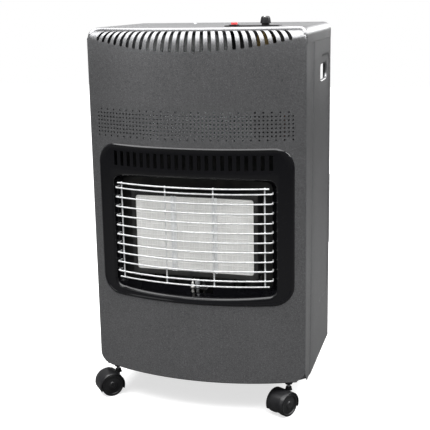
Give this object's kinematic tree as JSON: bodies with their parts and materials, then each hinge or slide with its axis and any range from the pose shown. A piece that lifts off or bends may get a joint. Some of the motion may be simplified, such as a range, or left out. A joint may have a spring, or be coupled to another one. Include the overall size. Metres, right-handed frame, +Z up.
{
  "type": "portable gas cabinet heater",
  "caption": "Portable cabinet heater: bowed steel front, radiant gas burner behind a wire guard, top controls, open bottle bay and swivel casters.",
  "frame": {"origin": "on the floor, under the middle of the whole heater", "axes": "+Z up, the bowed front faces -Y, +X to the right of someone facing the front"},
  "size_m": [0.4324, 0.3384, 0.749],
  "materials": {
    "graphite_paint": "fine textured satin",
    "black_enamel": "gloss",
    "bright_steel": "bright",
    "zinc_steel": "galvanised",
    "brass": "machined",
    "copper": "drawn tube",
    "burner_ceramic": "matt, finely perforated",
    "electrode_ceramic": "glazed",
    "black_plastic": "moulded",
    "red_plastic": "gloss"
  },
  "bodies": {
    "cabinet": {"front_panel": "graphite_paint", "top_cover": "graphite_paint", "side_panel_left": "graphite_paint", "side_panel_right": "graphite_paint", "base_tray": "graphite_paint", "bulkhead": "zinc_steel", "heat_shield": "zinc_steel", "heat_deflector": "bright_steel", "surround": "black_enamel", "wire_guard": "bright_steel", "plaque_left": "burner_ceramic", "plaque_middle": "burner_ceramic", "plaque_right": "burner_ceramic", "burner_frame": "bright_steel", "burner_housing": "zinc_steel", "mixing_tube_left": "zinc_steel", "mixing_tube_middle": "zinc_steel", "mixing_tube_right": "zinc_steel", "gas_rail": "brass", "pilot_bracket": "zinc_steel", "pilot_burner": "zinc_steel", "spark_electrode": "electrode_ceramic", "thermocouple": "copper", "control_plate": "graphite_paint", "valve_body": "brass", "igniter_body": "black_plastic", "main_gas_pipe": "copper", "pilot_gas_pipe": "copper", "ignition_lead": "black_plastic", "inlet_pipe": "brass", "gate_hinge_pin": "zinc_steel", "caster_socket_front_left": "black_plastic", "caster_socket_front_right": "black_plastic", "caster_socket_rear_left": "black_plastic", "caster_socket_rear_right": "black_plastic"},
    "valve_plunger": {"valve_plunger": "brass"},
    "control_knob": {"control_knob": "black_plastic", "valve_stem": "brass"},
    "igniter_button": {"igniter_button": "red_plastic"},
    "bottle_gate": {"bottle_gate": "black_enamel"},
    "caster_front_left": {"caster_stem_front_left": "zinc_steel", "caster_hood_front_left": "black_plastic"},
    "wheels_front_left": {"caster_axle_front_left": "zinc_steel", "caster_wheel_outer_front_left": "black_plastic", "caster_wheel_inner_front_left": "black_plastic"},
    "caster_front_right": {"caster_stem_front_right": "zinc_steel", "caster_hood_front_right": "black_plastic"},
    "wheels_front_right": {"caster_axle_front_right": "zinc_steel", "caster_wheel_outer_front_right": "black_plastic", "caster_wheel_inner_front_right": "black_plastic"},
    "caster_rear_left": {"caster_stem_rear_left": "zinc_steel", "caster_hood_rear_left": "black_plastic"},
    "wheels_rear_left": {"caster_axle_rear_left": "zinc_steel", "caster_wheel_outer_rear_left": "black_plastic", "caster_wheel_inner_rear_left": "black_plastic"},
    "caster_rear_right": {"caster_stem_rear_right": "zinc_steel", "caster_hood_rear_right": "black_plastic"},
    "wheels_rear_right": {"caster_axle_rear_right": "zinc_steel", "caster_wheel_outer_rear_right": "black_plastic", "caster_wheel_inner_rear_right": "black_plastic"}
  },
  "joints": [
    {"name": "knob_press", "type": "slide", "parent": "cabinet", "child": "valve_plunger", "axis": [0, 0, -1], "range_m": [0, 0.003], "stiffness_N_per_m": 600},
    {"name": "knob_turn", "type": "hinge", "parent": "valve_plunger", "child": "control_knob", "pos_m": [0.13769, -0.09879, 0.74], "axis": [0, 0, 1], "range_deg": [0, 210]},
    {"name": "igniter_press", "type": "slide", "parent": "cabinet", "child": "igniter_button", "axis": [0, 0, -1], "range_m": [0, 0.004], "stiffness_N_per_m": 400},
    {"name": "gate_swing", "type": "hinge", "parent": "cabinet", "child": "bottle_gate", "pos_m": [0.20719, 0.16071, 0.338], "axis": [0, 0, -1], "range_deg": [0, 95]},
    {"name": "swivel_front_left", "type": "hinge", "parent": "cabinet", "child": "caster_front_left", "pos_m": [-0.16981, -0.11079, 0.05], "axis": [0, 0, 1], "continuous": true},
    {"name": "roll_front_left", "type": "hinge", "parent": "caster_front_left", "child": "wheels_front_left", "pos_m": [-0.18377, -0.12292, 0.02217], "axis": [0.6561, -0.7547, 0], "continuous": true},
    {"name": "swivel_front_right", "type": "hinge", "parent": "cabinet", "child": "caster_front_right", "pos_m": [0.18219, -0.11079, 0.05], "axis": [0, 0, 1], "continuous": true},
    {"name": "roll_front_right", "type": "hinge", "parent": "caster_front_right", "child": "wheels_front_right", "pos_m": [0.17322, -0.12697, 0.02217], "axis": [0.8746, -0.4848, 0], "continuous": true},
    {"name": "swivel_rear_left", "type": "hinge", "parent": "cabinet", "child": "caster_rear_left", "pos_m": [-0.13381, 0.09221, 0.05], "axis": [0, 0, 1], "continuous": true},
    {"name": "roll_rear_left", "type": "hinge", "parent": "caster_rear_left", "child": "wheels_rear_left", "pos_m": [-0.12513, 0.10855, 0.02217], "axis": [-0.8829, 0.4695, 0], "continuous": true},
    {"name": "swivel_rear_right", "type": "hinge", "parent": "cabinet", "child": "caster_rear_right", "pos_m": [0.14619, 0.09221, 0.05], "axis": [0, 0, 1], "continuous": true},
    {"name": "roll_rear_right", "type": "hinge", "parent": "caster_rear_right", "child": "wheels_rear_right", "pos_m": [0.14298, 0.11043, 0.02217], "axis": [-0.9848, -0.1736, 0], "continuous": true}
  ]
}
